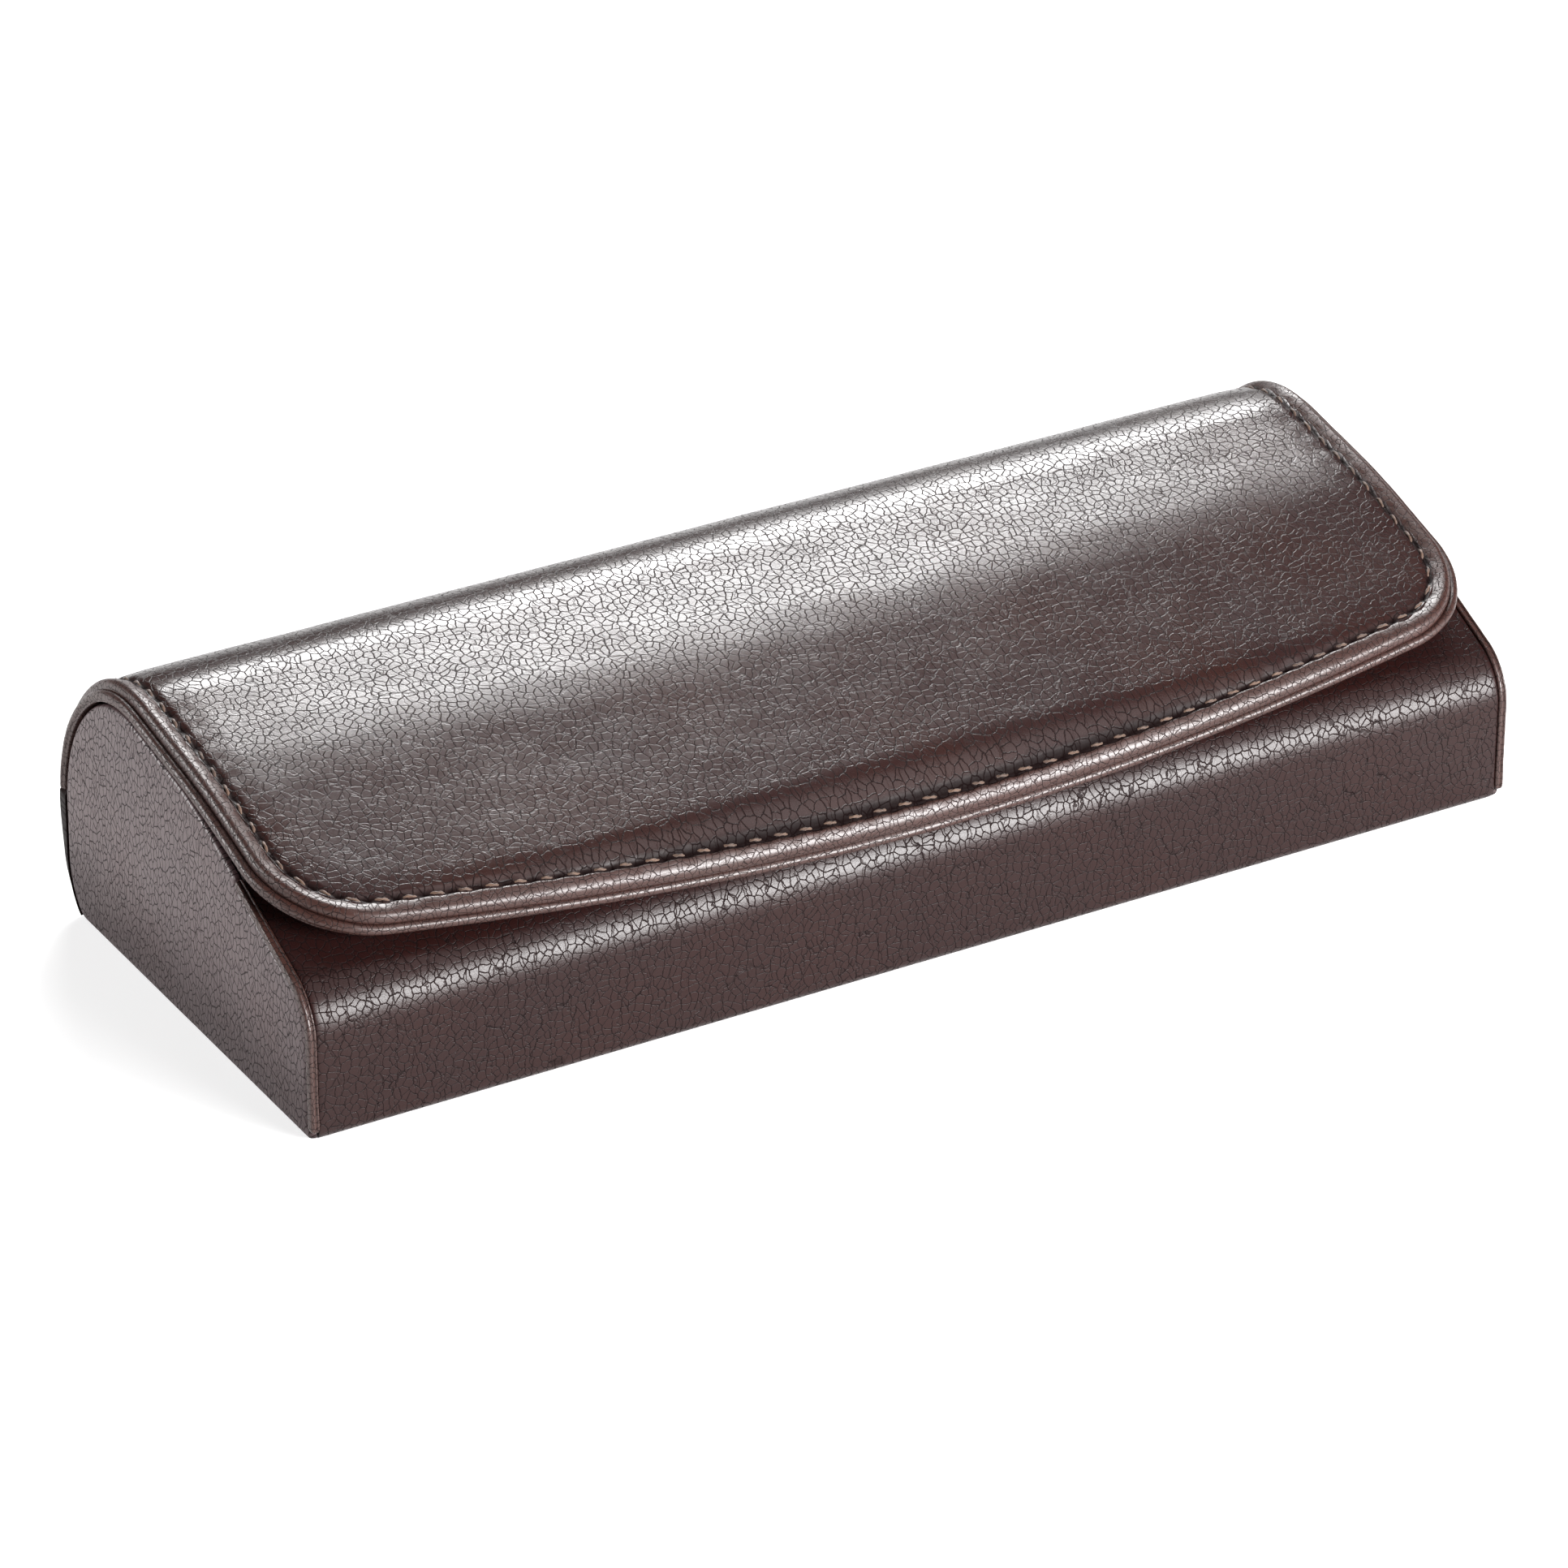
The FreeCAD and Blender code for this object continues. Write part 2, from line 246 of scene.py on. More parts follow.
def mesh_object(name, verts, faces, uvs=None, painted_shade=None):
    """A mesh piece. uvs holds one pair for each vertex, in centimetres.

    The last argument gives the painted shade of each vertex, from 0 for none to 1: in seams,
    needle holes and other places where shade falls.
    """
    me = bpy.data.meshes.new(name)
    me.from_pydata([tuple(v) for v in verts], [], faces)
    if uvs is not None:
        layer = me.uv_layers.new(name="Grain")
        index = np.empty(len(me.loops), int)
        me.loops.foreach_get("vertex_index", index)
        layer.data.foreach_set("uv", np.asarray(uvs, np.float32)[index].ravel())
    # the painted shade, kept as a point attribute that the leather material reads
    depth = me.attributes.new("PaintedShade", "FLOAT", "POINT")
    if painted_shade is not None:
        depth.data.foreach_set("value", np.asarray(painted_shade, np.float32).ravel())
    me.polygons.foreach_set("use_smooth", [True] * len(me.polygons))
    me.validate()
    me.update()
    ob = bpy.data.objects.new(name, me)
    bpy.context.scene.collection.objects.link(ob)
    return ob


def grid_faces(n, m, start=0, flip=False, loop=False):
    """Quads of an n by m grid; loop joins the last column to the first."""
    faces = []
    for i in range(n - 1):
        for j in range(m if loop else m - 1):
            a, b = start + i * m + j, start + i * m + (j + 1) % m
            quad = (a, b, b + m, a + m)
            faces.append(quad[::-1] if flip else quad)
    return faces


def shell_piece(name, outer, inner, uv, painted_shade=None):
    """A closed sheet between an outer and an inner grid of points."""
    n, m = outer.shape[:2]
    verts = np.concatenate([outer.reshape(-1, 3), inner.reshape(-1, 3)])
    k = n * m
    faces = grid_faces(n, m) + grid_faces(n, m, k, flip=True)
    ring = [i * m for i in range(n)] + [(n - 1) * m + j for j in range(1, m)]
    ring += [i * m + m - 1 for i in range(n - 2, -1, -1)] + list(range(m - 2, 0, -1))
    for a, b in zip(ring, ring[1:] + ring[:1]):
        faces.append((a, a + k, b + k, b))
    uv = uv.reshape(-1, 2)
    if painted_shade is not None:
        painted_shade = np.concatenate([painted_shade.ravel()] * 2)
    ob = mesh_object(name, verts, faces, np.concatenate([uv, uv]), painted_shade)
    turn_outwards(ob)
    return ob


def turn_outwards(ob):
    """Points every face of a closed mesh outwards."""
    bm = bmesh.new()
    bm.from_mesh(ob.data)
    bmesh.ops.recalc_face_normals(bm, faces=bm.faces)
    bm.to_mesh(ob.data)
    bm.free()


def sweep(name, points, side, up, profile, lift=None, taper=0.0, along=None, painted_shade=None,
          change=None):
    """A closed tube: profile is (out, up) in millimetres, lift moves its points off its middle.

    taper is the length over which each end closes, and along the tube's whole length. change
    is added to the profile, point by point along the tube.
    """
    n, m = len(points), len(profile)
    centre = profile.mean(0)
    ray = profile - centre
    ray = ray / np.linalg.norm(ray, axis=1)[:, None]
    offset = np.broadcast_to(profile, (n, m, 2)).copy()
    if change is not None:
        offset += change
    if lift is not None:
        offset += ray[None] * lift[..., None]
    if taper:
        q = np.arange(n) / max(n - 1, 1) * along
        close = np.minimum(q, along - q) / taper
        shrink = np.sqrt(np.clip(1 - (1 - np.clip(close, 0, 1)) ** 2, 0.0004, 1))
        offset = centre + (offset - centre) * shrink[:, None, None]
    v = points[:, None] + (side[:, None] * offset[..., :1] + up[:, None] * offset[..., 1:]) * MM
    faces = grid_faces(n, m, loop=True)
    verts = list(v.reshape(-1, 3)) + [v[0].mean(0), v[-1].mean(0)]
    first, last = n * m, n * m + 1
    for j in range(m):
        k = (j + 1) % m
        faces.append((first, k, j))
        faces.append((last, (n - 1) * m + j, (n - 1) * m + k))
    step = np.linalg.norm(np.diff(points, axis=0), axis=1) / MM
    run = np.concatenate([[0], np.cumsum(step)])
    girth = np.linalg.norm(np.roll(profile, -1, 0) - profile, axis=1)
    around = np.concatenate([[0], np.cumsum(girth)[:-1]])
    uv = np.stack(np.broadcast_arrays(run[:, None], around[None]), -1).reshape(-1, 2)
    uv = np.concatenate([uv, uv[:1], uv[-1:]]) / 10
    if painted_shade is not None:
        painted_shade = np.concatenate([painted_shade.ravel(), [0, 0]])
    ob = mesh_object(name, verts, faces, uv, painted_shade)
    turn_outwards(ob)
    return ob


def ring_mesh(rings, hub, sign):
    """Vertices and faces of a panel made of rings round hub, with a flat back.

    Each ring is (its points (u, z), its x), and hub is (x, u, z), all in millimetres.
    """
    m, count = len(rings), len(rings[0][0])
    verts = np.stack([place(x, uz) for uz, x in rings]).reshape(-1, 3)
    middle = np.array([hub[0], hub[1] + FRONT_Y, hub[2]]) * MM
    verts = np.concatenate([verts, middle[None]])
    verts[:, 0] *= sign
    verts[:, 2] = np.maximum(verts[:, 2], 0.0)
    faces = grid_faces(m, count, loop=True)
    faces += [(m * count, (j + 1) % count, j) for j in range(count)]
    faces.append(tuple(range((m - 1) * count, m * count))[::-1])
    return verts, faces


def loop_of(points, count=36):
    """A smooth closed loop of count points through the given (out, up) points."""
    a = np.array(points, float)
    n = len(a)
    q = np.arange(count) / count * n
    i = q.astype(int)
    f = (q - i)[:, None]
    p0, p1, p2, p3 = a[i - 1], a[i], a[(i + 1) % n], a[(i + 2) % n]
    return 0.5 * (2 * p1 + (p2 - p0) * f + (2 * p0 - 5 * p1 + 4 * p2 - p3) * f ** 2
                  + (3 * p1 - p0 - 3 * p2 + p3) * f ** 3)


# ---------------------------------------------------------------- materials

class Nodes:
    """Short ways to build a node tree."""

    def __init__(self, name):
        self.material = bpy.data.materials.new(name)
        self.material.use_nodes = True
        self.tree = self.material.node_tree
        self.shader = self.tree.nodes["Principled BSDF"]

    def add(self, kind, settings=None, **inputs):
        """A new node. In the names of its inputs a space is written _."""
        node = self.tree.nodes.new("ShaderNode" + kind)
        for key, value in (settings or {}).items():
            setattr(node, key, value)
        for key, value in inputs.items():
            self.put(node.inputs[key.replace("_", " ")], value)
        return node

    def put(self, socket, value):
        if isinstance(value, bpy.types.NodeSocket):
            self.tree.links.new(value, socket)
        else:
            socket.default_value = value

    def math(self, operation, a, b=0.0, c=0.0):
        node = self.tree.nodes.new("ShaderNodeMath")
        node.operation = operation
        for socket, value in zip(node.inputs, (a, b, c)):
            self.put(socket, value)
        return node.outputs[0]

    def scaled(self, vector, scale):
        node = self.add("VectorMath", {"operation": "MULTIPLY"})
        self.put(node.inputs[0], vector)
        self.put(node.inputs[1], scale)
        return node.outputs[0]

    def plus(self, a, b):
        node = self.add("VectorMath", {"operation": "ADD"})
        self.put(node.inputs[0], a)
        self.put(node.inputs[1], b)
        return node.outputs[0]

    def ramp(self, value, low, high, out_low=0.0, out_high=1.0):
        node = self.add("MapRange", {"interpolation_type": "SMOOTHSTEP"}, Value=value,
                        From_Min=low, From_Max=high, To_Min=out_low, To_Max=out_high)
        return node.outputs["Result"]

    def mix(self, share, a, b):
        node = self.add("Mix", {"data_type": "RGBA"})
        self.put(node.inputs["Factor"], share)
        self.put(node.inputs["A"], a)
        self.put(node.inputs["B"], b)
        return node.outputs["Result"]

    def noise(self, vector, scale, detail=3.0, roughness=0.55):
        return self.add("TexNoise", Vector=vector, Scale=scale, Detail=detail,
                        Roughness=roughness)

    def cells(self, vector, scale):
        """Distance to the nearest edge of irregular cells."""
        node = self.add("TexVoronoi", {"voronoi_dimensions": "2D",
                                       "feature": "DISTANCE_TO_EDGE"},
                        Vector=vector, Scale=scale, Randomness=1.0)
        return node.outputs["Distance"]

    def bump(self, height, distance):
        node = self.add("Bump", Height=height, Distance=distance, Strength=1.0)
        self.put(self.shader.inputs["Normal"], node.outputs["Normal"])

    def set(self, **values):
        for key, value in values.items():
            self.put(self.shader.inputs[key.replace("_", " ")], value)
        return self.material


def leather(name, colour, warm, crease, cell=1.05, crack=(2.2, 0.4), crack_share=0.45,
            depth=0.03, roughness=0.25, specular=0.45, line=0.10, tall=1.0):
    """Grained leather: small pebbles, longer cracks between them, and slow colour changes.

    cell is a pebble's width and crack the longer cracks' spacing, in millimetres, with their
    squeeze along the section. line is the share of a pebble that its outline takes, and tall
    its height over its width. Painted shade: where a mesh marks a vertex as shaded, in seams,
    needle holes and other shaded places, the leather is painted darker and less shiny.
    """
    k = Nodes(name)
    uv = k.add("UVMap", {"uv_map": "Grain"}).outputs["UV"]
    painted_shade = k.add("Attribute", {"attribute_name": "PaintedShade"}).outputs["Fac"]
    warp = k.plus(k.noise(uv, 7.0, 4.0).outputs["Color"], (-0.5, -0.5, -0.5))
    bent = k.plus(uv, k.scaled(warp, (0.09, 0.09, 0.0)))
    fine = k.cells(k.scaled(bent, (1.0, 1.0 / tall, 1.0)), 10 / cell)
    small = k.cells(k.scaled(bent, (1.03, 0.97, 1.0)), 21 / cell)
    slow = k.noise(uv, 0.9, 3.0).outputs["Fac"]
    long_uv = k.plus(uv, k.scaled(warp, (0.22, 0.3, 0.0)))
    cracks = k.cells(k.scaled(long_uv, (1.0, crack[1], 1.0)), 10 / crack[0])
    pebble = k.ramp(fine, 0.0, 0.09)
    dimple = k.ramp(small, 0.0, 0.12)
    amount = k.ramp(slow, 0.35, 0.65, 0.4, 1.0)
    crack_dip = k.math("MULTIPLY", k.ramp(cracks, 0.0, 0.045, 1.0, 0.0), amount)
    crack_dip = k.math("MULTIPLY", crack_dip, crack_share)
    pores = k.noise(uv, 55.0, 3.0, 0.6).outputs["Fac"]
    height = k.math("MULTIPLY_ADD", pebble, 0.72, k.math("MULTIPLY", dimple, 0.1))
    height = k.math("MULTIPLY_ADD", pores, 0.045, height)
    height = k.math("SUBTRACT", height, crack_dip)
    tint = k.ramp(k.noise(uv, 0.55, 4.0).outputs["Fac"], 0.38, 0.66)
    body = k.mix(tint, colour, warm)
    open_share = k.math("SUBTRACT", 1.0, k.math("MULTIPLY", crack_dip, 0.85))
    low = k.math("MULTIPLY", k.ramp(fine, 0.0, line, 0.08, 1.0), open_share)
    # painted shade: where the mesh is marked as shaded, the colour goes to the dark crease colour
    # and the shine falls away
    unshaded = k.ramp(painted_shade, 0.0, 1.0, 1.0, 0.0)
    shown = k.math("MULTIPLY", low, unshaded)
    final = k.mix(shown, crease, body)
    rough = k.math("MULTIPLY_ADD", k.math("SUBTRACT", 1.0, shown), 0.3, roughness)
    rough = k.math("ADD", rough, k.math("MULTIPLY_ADD", slow, 0.08, -0.04))
    shine = k.math("MULTIPLY", k.math("MULTIPLY_ADD", low, 0.85, 0.15), specular)
    shine = k.math("MULTIPLY", shine, unshaded)
    k.bump(height, depth * MM)
    return k.set(Base_Color=final, Roughness=rough, Specular_IOR_Level=shine)


def velour(name, colour, light):
    """Short pile cloth with a soft sheen, brushed in slow patches."""
    k = Nodes(name)
    at = k.add("TexCoord").outputs["Object"]
    pile = k.noise(at, 2600.0, 3.0, 0.7).outputs["Fac"]
    brush = k.noise(k.scaled(at, (1.0, 2.2, 2.2)), 38.0, 4.0, 0.6).outputs["Fac"]
    body = k.mix(k.ramp(brush, 0.35, 0.7), colour, light)
    body = k.mix(k.ramp(pile, 0.3, 0.7, 0.0, 0.35), body, (0.012, 0.008, 0.007, 1))
    height = k.math("MULTIPLY_ADD", brush, 0.6, pile)
    k.bump(height, 0.12 * MM)
    return k.set(Base_Color=body, Roughness=0.95, Sheen_Weight=0.55, Sheen_Roughness=0.4,
                 Sheen_Tint=(0.55, 0.42, 0.36, 1.0), Specular_IOR_Level=0.2)


def thread_material():
    """Dull twisted thread, lighter and darker in patches."""
    k = Nodes("thread")
    at = k.add("TexCoord").outputs["Object"]
    fibre = k.noise(at, 9000.0, 2.0, 0.6).outputs["Fac"]
    patch = k.noise(at, 260.0, 2.0).outputs["Fac"]
    body = k.mix(k.ramp(patch, 0.35, 0.65), (0.13, 0.068, 0.040, 1), (0.065, 0.033, 0.020, 1))
    body = k.mix(k.ramp(fibre, 0.35, 0.65, 0.0, 0.5), body, (0.035, 0.018, 0.012, 1))
    k.bump(fibre, 0.03 * MM)
    return k.set(Base_Color=body, Roughness=0.62, Sheen_Weight=0.25)


def board_material():
    """Pressed grey fibre board."""
    k = Nodes("shell_board")
    at = k.add("TexCoord").outputs["Object"]
    fibre = k.noise(k.scaled(at, (1.0, 3.0, 3.0)), 700.0, 5.0, 0.65).outputs["Fac"]
    body = k.mix(fibre, (0.30, 0.27, 0.24, 1), (0.17, 0.15, 0.13, 1))
    k.bump(fibre, 0.05 * MM)
    return k.set(Base_Color=body, Roughness=0.8)


def foam_material():
    """Pale foam with fine cells."""
    k = Nodes("foam")
    at = k.add("TexCoord").outputs["Object"]
    cell = k.add("TexVoronoi", Vector=at, Scale=1800.0).outputs["Distance"]
    body = k.mix(cell, (0.42, 0.40, 0.35, 1), (0.66, 0.64, 0.58, 1))
    k.bump(cell, 0.1 * MM)
    return k.set(Base_Color=body, Roughness=0.95)


def steel_material():
    """Drawn steel, with fine lines along X."""
    k = Nodes("magnet_steel")
    at = k.add("TexCoord").outputs["Object"]
    grain = k.noise(k.scaled(at, (0.1, 1.0, 1.0)), 4000.0, 3.0).outputs["Fac"]
    k.bump(grain, 0.01 * MM)
    rough = k.math("MULTIPLY_ADD", grain, 0.15, 0.25)
    return k.set(Base_Color=(0.62, 0.61, 0.59, 1), Metallic=1.0, Roughness=rough)


BROWN, REDDISH = (0.023, 0.0095, 0.0088, 1), (0.026, 0.0095, 0.0078, 1)
# the dark colour of the grain's cracks, which also paints the shade in seams, needle holes and
# other shaded places
CREASE_AND_SHADE = (0.005, 0.0025, 0.0025, 1)
GRAIN = leather("grain_leather", BROWN, REDDISH, CREASE_AND_SHADE)
# painted shade: the base's leather gets a darker colour than the lid's, standing in for the shade
# on the base's walls
WRAP_SHADED = leather("wrap_leather_shaded", (0.0145, 0.0044, 0.0040, 1), (0.016, 0.0044, 0.0037, 1), CREASE_AND_SHADE,
               cell=1.0, crack=(2.4, 0.34), crack_share=0.9, depth=0.036, roughness=0.33,
               specular=0.27)
# painted light: the ends' leather gets a lighter, greyer colour than the lid's, standing in for
# the light and reflections on the ends
END_LIT = leather("end_leather", (0.064, 0.036, 0.038, 1), (0.066, 0.035, 0.036, 1), CREASE_AND_SHADE,
              cell=0.78, crack=(2.0, 0.5), crack_share=0.7, depth=0.035, roughness=0.38,
              specular=0.6, line=0.11, tall=1.8)
PIPING = leather("piping_leather", (0.038, 0.015, 0.0115, 1), (0.040, 0.014, 0.0105, 1), CREASE_AND_SHADE,
                 cell=0.8, crack=(1.5, 2.6), crack_share=0.7, depth=0.018, roughness=0.38,
                 specular=0.55)
LINING = velour("lining_cloth", (0.034, 0.022, 0.018, 1), (0.052, 0.035, 0.029, 1))
THREAD, BOARD, FOAM = thread_material(), board_material(), foam_material()
STEEL = steel_material()


def finish_piece(ob, material, slot, body, *nodes):
    """Gives a piece its material and its body, if one, and hides the CAD nodes it stands for. slot
    is not used.
    """
    ob.data.materials.append(material)
    if body:
        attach(ob, body)
    if nodes:
        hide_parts(*nodes)
    return ob


# ---------------------------------------------------------------- the seam

SEAM_END = S_EDGE - 2.2
seam_x, seam_s, seam_q = flap_path(SEAM_INSET, SEAM_END, 0.1, COVER_T)
hole_count = int(seam_q[-1] / PITCH)
hole_q = (seam_q[-1] - hole_count * PITCH) / 2 + np.arange(hole_count + 1) * PITCH
hole_q = hole_q + rng.uniform(-0.09, 0.09, len(hole_q))


def seam_distance(x, s):
    """For points on the lid: the distance to the seam, and how near a needle hole is along it."""
    seam = place(seam_x, lid.at(seam_s, np.full(len(seam_s), COVER_T))) / MM
    p = place(x, lid.at(s, np.full(s.shape, COVER_T))) / MM
    flat = p.reshape(-1, 3)
    near = np.full(len(flat), 1e9)
    where = np.zeros(len(flat))
    # only the points near the seam are measured, in parts that fit in memory
    close = (np.abs(flat[:, 0]) > HALF - 8) | (flat[:, 1] < seam[:, 1].min() + 12)
    todo = np.flatnonzero(close)
    for part in np.array_split(todo, max(1, len(todo) // 4000)):
        d = np.linalg.norm(flat[part, None] - seam[None, ::3], axis=2)
        near[part] = d.min(1)
        where[part] = seam_q[::3][d.argmin(1)]
    at = np.interp(where, hole_q, np.arange(len(hole_q)))
    hole = np.abs(at - np.round(at)) * PITCH
    return near.reshape(s.shape), hole.reshape(s.shape)


# ---------------------------------------------------------------- lid

def lid_columns(half, coarse, fine, margin=11.0):
    """x positions from -half to half, closer together near the ends."""
    inner = np.linspace(0, half - margin, int((half - margin) / coarse) + 1)
    outer = np.linspace(half - margin, half, int(margin / fine) + 1)[1:]
    right = np.concatenate([inner, outer])
    return np.concatenate([-right[:0:-1], right])


def lid_grid():
    """x and s of the main leather, on a grid that is finer near the seam.

    Also gives where it is below the hinge, and how far it goes under the piping at its
    sides and at its front.
    """
    half = HALF - PIPING_EDGE
    x0 = lid_columns(half, 0.72, 0.36)
    # two more columns and rows at each border: tucked under the piping, or a side's edge
    x0 = np.concatenate([[-half - 1.2, -half - 0.5], x0, [half + 0.5, half + 1.2]])
    start = front_s(np.clip(x0, -half, half), PIPING_EDGE)[:, None]
    middle = S_FOOT - start.min()
    near = np.linspace(0, 4.2, 13)
    rest = np.linspace(4.2, middle, int((middle - 4.2) / 0.68))[1:]
    share = np.concatenate([[-1.1, -0.5], near, rest]) / middle
    s = start + share[None] * (S_FOOT - start)
    below = smooth(s, S_EDGE - 0.35, S_EDGE + 0.3)
    # below the hinge the sides spread to the back panel's width
    out = np.abs(x0)
    wide = out + (BACK_X - 0.35 - half) * smooth(out, half - 10, half)
    wide = np.where(out - half > 0.1, BACK_X - 0.08, wide)
    wide = np.where(out - half > 1.0, BACK_X, wide)
    x = np.sign(x0)[:, None] * (out[:, None] + (wide - out)[:, None] * below)
    under = np.maximum(out - half, 0)[:, None]
    ahead = np.maximum(start - s, 0)
    return x, s, below, under, ahead


def seam_relief(x, s):
    """Where the lid's leather is seamed, its distance to the seam, its dip and the shade painted
    into its seam, needle holes and front bend.
    """
    distance, hole = seam_distance(x, s)
    seamed = 1 - smooth(s, SEAM_END - 0.5, SEAM_END + 2.0)
    pinch = 1 - smooth(hole, 0.15, 1.35)
    off_line = np.maximum(distance - 0.1, 0)
    groove = 0.21 * np.exp(-(off_line / (0.28 * (1 + 0.5 * pinch))) ** 2)
    pit = 0.28 * np.exp(-(distance / 0.42) ** 2 - (hole / 0.5) ** 2)
    pull = 0.05 * np.exp(-((distance - 1.5) / 0.9) ** 2) * (pinch - 0.5)
    # painted shade in the seam's groove and needle holes, darkest at the holes
    painted_shade = 0.9 * np.exp(-(off_line / 0.42) ** 2) * (0.5 + 0.5 * pinch)
    painted_shade = np.maximum(painted_shade, 0.25 * np.exp(-(distance / 0.5) ** 2))
    # over the bend at the front the leather lies in the bead's shade
    shade = 0.85 * smooth(slope(s), 28, 50) * np.exp(-(distance / 1.5) ** 4)
    painted_shade = np.maximum(painted_shade, shade) * seamed
    return seamed, distance, (groove + pit + pull) * seamed, painted_shade


def make_lid_panel():
    """The grained main leather, from the seam over the top, through the hinge, to the foot."""
    x, s, below, under, ahead = lid_grid()
    seamed, distance, dip, painted_shade = seam_relief(x, s)
    # it swells inside the seam, and thins over the back panel down to the foot
    pad = PADDING * smooth(distance, -0.5, 4.3) * (1 - smooth(s, S_TURN - 4, S_EDGE - 3))
    swell = 0.030 * waves(x, s, 31.0, 3) + 0.012 * waves(x, s * 1.4, 11.0, 5)
    fall = np.interp(s, [S_BACK, S_BACK + 2.0, S_BACK + 7.6, S_FOOT - 1.0, S_FOOT],
                     [0.0, 0.12, 0.95, 2.0, 2.22])
    t = COVER_T - dip + pad + swell - fall * (1 - seamed)
    # two creases along the hinge
    crease = np.exp(-((s - S_HINGE - 0.3) / 0.55) ** 2) * 0.13
    crease += np.exp(-((s - S_HINGE + 1.9) / 0.4) ** 2) * 0.05
    t -= crease * (1 + 0.3 * waves(x, s, 9.0, 8))
    # rounded side edges below the hinge, and borders that dip under the bead above it
    edge = smooth(np.abs(x), BACK_X - 1.5, BACK_X - 0.3) * below
    t -= edge * edge * 0.3
    t -= np.clip(under * 1.2 + ahead * 0.9, 0, 1.1) * seamed
    t = np.where(under > 0, t * (1 - below) + below * np.where(under > 1, 0.06, t - 0.3), t)
    t = np.maximum(t, np.where(below > 0.5, 0.06, 0.5))
    outer = place(x, lid.at(s, t))
    inside = np.where(below > 0.5, np.minimum(t - 0.05, 0.04),
                      np.minimum(t - 0.45, COVER_T - 0.68))
    inner = place(x, lid.at(s, inside))
    # painted shade on the side strips below the hinge, where the leather turns under
    painted_shade = np.maximum(painted_shade, 0.75 * below * (under > 0))
    ob = shell_piece("lid_leather", outer, inner, np.stack([x, s], -1) / 10, painted_shade)
    return finish_piece(ob, GRAIN, "grain_leather", None, "lid_cover", "hinge_strip", "back_panel")


def make_piping():
    """The main bead, pinched where the stitches pull and wrinkled across."""
    x, s, q = flap_path(2.05, S_EDGE, 0.22, 1.7)
    p, side, up = path_frame(x, s, 1.7)
    # a long gentle rise from the seam, then a round fall to the outside
    profile = loop_of([(-1.42, -0.3), (-1.40, 0.18), (-1.28, 0.44), (-1.02, 0.60),
                       (-0.60, 0.76), (-0.15, 0.88), (0.26, 0.94), (0.60, 0.85), (0.88, 0.60),
                       (1.05, 0.2), (1.08, -0.3), (0.6, -0.6), (-0.2, -0.65), (-1.0, -0.6)], 42)
    # over the bend at the front the bead stands up straight from the seam
    upright = loop_of([(-1.42, -0.3), (-1.42, 0.30), (-1.34, 0.64), (-1.12, 0.84),
                       (-0.70, 0.93), (-0.25, 0.96), (0.20, 0.90), (0.58, 0.73), (0.86, 0.46),
                       (1.04, 0.12), (1.08, -0.3), (0.6, -0.6), (-0.2, -0.65), (-1.0, -0.6)], 42)
    change = smooth(slope(s), 24, 52)[:, None, None] * (upright - profile)[None]
    seam = np.interp(q / q[-1], seam_q / seam_q[-1], seam_q)
    at = np.interp(seam, hole_q, np.arange(len(hole_q)))
    hole = np.abs(at - np.round(at)) * PITCH
    pinch = (1 - smooth(hole, 0.1, 1.3))[:, None]
    inner = smooth(-profile[:, 0], 0.1, 1.2)[None]
    top = smooth(profile[:, 1], -0.3, 0.4)[None]
    corner = np.exp(-((np.abs(x) - 73) / 5.5) ** 2 - ((s - 14) / 9.0) ** 2)[:, None]
    slant = q[:, None] + profile[:, 0][None] * 0.5 * np.sign(x)[:, None]
    slant = slant - slant.min()
    ridge = line_noise(slant, 0.7, 21) * 0.6 + line_noise(slant, 1.7, 22) * 0.4
    lift = -0.09 * pinch * inner + ridge * top * (0.008 + 0.05 * corner + 0.012 * inner)
    lift += 0.03 * line_noise(q, 9.0, 23)[:, None]
    # painted shade at the bead's foot by the seam, darkest at the needle holes
    painted_shade = 0.85 * smooth(-profile[:, 0], 1.15, 1.4)[None] * (0.45 + 0.55 * pinch)
    ob = sweep("lid_piping_bead", p, side, up, profile, lift, 0.5, q[-1], painted_shade, change)
    return finish_piece(ob, PIPING, "piping_leather", "lid", "lid_piping", "piping_cord")


def make_binding():
    """The turned edge under the bead: a second small bead, a skirt and an inside flange."""
    x, s, q = flap_path(0.55, S_EDGE, 0.3, 0.9)
    p, side, up = path_frame(x, s, 0.9)
    profile = np.array([
        (-1.7, 0.25), (-0.95, 0.22), (-0.72, 0.30), (-0.5, 0.48), (-0.3, 0.62), (-0.05, 0.70),
        (0.2, 0.66), (0.42, 0.50), (0.56, 0.26), (0.6, 0.0), (0.52, -0.2), (0.40, -0.32),
        (0.36, -0.42), (0.40, -0.5), (0.38, -0.58), (0.22, -0.64), (-0.4, -0.65),
        (-2.0, -0.64), (-3.6, -0.62), (-3.75, -0.5), (-2.0, -0.4), (-1.8, -0.1)])
    valley = np.exp(-((profile[:, 0] + 0.85) / 0.3) ** 2) * (profile[:, 1] > 0)
    top = smooth(profile[:, 1], -0.3, 0.3)[None]
    ridge = line_noise(q, 0.9, 31)[:, None] * 0.012 + line_noise(q, 7.0, 32)[:, None] * 0.03
    # painted shade in the groove between the two beads
    painted_shade = np.broadcast_to(valley * 0.8, (len(q), len(profile)))
    ob = sweep("lid_edge_bead", p, side, up, profile, ridge * top, 0.4, q[-1], painted_shade)
    return finish_piece(ob, PIPING, "piping_leather", "lid", "lid_binding")


